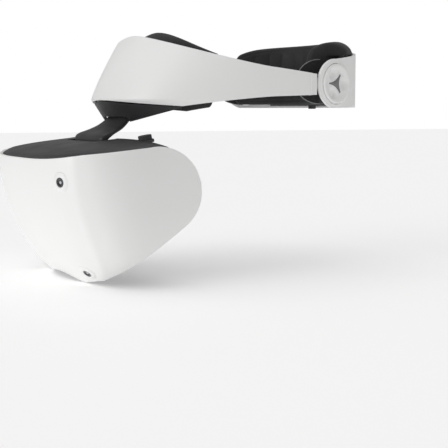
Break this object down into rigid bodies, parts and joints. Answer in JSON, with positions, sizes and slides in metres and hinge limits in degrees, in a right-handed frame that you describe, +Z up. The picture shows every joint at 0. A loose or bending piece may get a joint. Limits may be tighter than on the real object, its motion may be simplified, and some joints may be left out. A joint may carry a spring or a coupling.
{
  "type": "vr headset",
  "caption": "Head-worn display: rigid headband with forehead and rear pads, a hanging scope with lenses, cameras and light shield, side fit knobs and a sliding rear unit.",
  "frame": {"origin": "middle of the head space inside the headband, level with the middle of the arms", "axes": "+Z up, the wearer looks along -Y, the wearer's left hand is at +X"},
  "size_m": [0.212, 0.3088, 0.2031],
  "materials": {
    "white_shell": "satin white moulded plastic",
    "black_housing": "fine-textured black moulded plastic",
    "pad_cover": "soft matte black cushion skin",
    "shield_rubber": "soft black moulded rubber",
    "grey_button": "mid-grey moulded plastic",
    "steel": "turned and ground steel",
    "aluminium": "extruded aluminium",
    "circuit_board": "glass-fibre board with green mask",
    "dark_glass": "coated dark glass"
  },
  "bodies": {
    "headband": {"band_shell": "white_shell", "band_liner": "black_housing", "brow_housing": "black_housing", "forehead_pad": "pad_cover", "bridge_arm": "black_housing", "arm_carriage": "black_housing", "vibration_motor": "steel"},
    "motor_weight": {"vibration_weight": "steel"},
    "rear_unit": {"rear_shell": "white_shell", "rear_liner": "black_housing", "rear_pad": "pad_cover", "guide_left": "black_housing", "guide_right": "black_housing", "audio_jack": "steel", "cable_inlet": "black_housing"},
    "knob_left": {"knob_left": "white_shell", "knob_pinion_left": "black_housing"},
    "knob_right": {"knob_right": "white_shell", "knob_pinion_right": "black_housing"},
    "knob_button_left": {"knob_button_left": "grey_button"},
    "knob_button_right": {"knob_button_right": "grey_button"},
    "scope": {"scope_shell": "white_shell", "scope_top_panel": "black_housing", "scope_bottom_panel": "black_housing", "scope_rear_frame": "black_housing", "camera_upper_left": "dark_glass", "camera_upper_right": "dark_glass", "camera_lower_left": "dark_glass", "camera_lower_right": "dark_glass", "light_shield": "shield_rubber", "lens_rail_upper": "steel", "lens_rail_lower": "steel", "optics_frame": "black_housing", "slide_rail_left": "steel", "slide_rail_right": "steel", "main_board": "circuit_board", "heat_sink": "aluminium", "fan_housing": "black_housing", "frame_screw_1": "steel", "frame_screw_2": "steel", "frame_screw_3": "steel", "frame_screw_4": "steel"},
    "lens_left": {"lens_barrel_left": "black_housing", "lens_left": "dark_glass", "display_left": "dark_glass"},
    "lens_right": {"lens_barrel_right": "black_housing", "lens_right": "dark_glass", "display_right": "dark_glass"},
    "lens_dial": {"lens_dial": "black_housing"},
    "fan": {"fan_rotor": "black_housing"},
    "power_button": {"power_button": "grey_button"},
    "function_button": {"function_button": "grey_button"},
    "scope_release": {"scope_release_button": "grey_button"}
  },
  "joints": [
    {"name": "rear_fit", "type": "slide", "parent": "headband", "child": "rear_unit", "axis": [0, 1, 0], "range_m": [0, 0.035]},
    {"name": "knob_left_turn", "type": "hinge", "parent": "rear_unit", "child": "knob_left", "pos_m": [0.07909, 0.0645, 0], "axis": [0.9659, 0.2588, 0], "range_deg": [-1, 252]},
    {"name": "knob_right_turn", "type": "hinge", "parent": "rear_unit", "child": "knob_right", "pos_m": [-0.07909, 0.0645, 0], "axis": [-0.9659, 0.2588, 0], "range_deg": [-252, 1]},
    {"name": "knob_button_left_press", "type": "slide", "parent": "knob_left", "child": "knob_button_left", "axis": [-0.9659, -0.2588, 0], "range_m": [0, 0.0015], "stiffness_N_per_m": 500},
    {"name": "knob_button_right_press", "type": "slide", "parent": "knob_right", "child": "knob_button_right", "axis": [0.9659, -0.2588, 0], "range_m": [0, 0.0015], "stiffness_N_per_m": 500},
    {"name": "scope_slide", "type": "slide", "parent": "headband", "child": "scope", "axis": [0, 0.9816, 0.1908], "range_m": [-0.015, 0.004]},
    {"name": "lens_left_slide", "type": "slide", "parent": "scope", "child": "lens_left", "axis": [1, 0, 0], "range_m": [-0.00325, 0.00325]},
    {"name": "lens_right_slide", "type": "slide", "parent": "scope", "child": "lens_right", "axis": [-1, 0, 0], "range_m": [-0.0033, 0.0033]},
    {"name": "lens_dial_turn", "type": "hinge", "parent": "scope", "child": "lens_dial", "pos_m": [0.072, -0.10943, -0.04583], "axis": [0, -0.1908, 0.9816], "range_deg": [-101, 101]},
    {"name": "power_button_press", "type": "slide", "parent": "scope", "child": "power_button", "axis": [0, -0.1908, 0.9816], "range_m": [0, 0.0008], "stiffness_N_per_m": 500},
    {"name": "function_button_press", "type": "slide", "parent": "scope", "child": "function_button", "axis": [0, -0.1908, 0.9816], "range_m": [0, 0.0008], "stiffness_N_per_m": 500},
    {"name": "scope_release_press", "type": "slide", "parent": "scope", "child": "scope_release", "axis": [0, -0.1908, 0.9816], "range_m": [0, 0.0015], "stiffness_N_per_m": 500},
    {"name": "fan_spin", "type": "hinge", "parent": "scope", "child": "fan", "pos_m": [0, -0.16539, -0.09334], "axis": [0, 0.9816, 0.1908], "continuous": true},
    {"name": "weight_spin", "type": "hinge", "parent": "headband", "child": "motor_weight", "pos_m": [0.0064, -0.1058, 0], "axis": [1, 0, 0], "continuous": true}
  ],
  "couplings": [
    {"joint": "knob_left_turn", "follows": "rear_fit", "rad_per_m": 125},
    {"joint": "knob_right_turn", "follows": "rear_fit", "rad_per_m": -125},
    {"joint": "lens_right_slide", "follows": "lens_left_slide", "ratio": 1},
    {"joint": "lens_dial_turn", "follows": "lens_left_slide", "rad_per_m": 537}
  ]
}
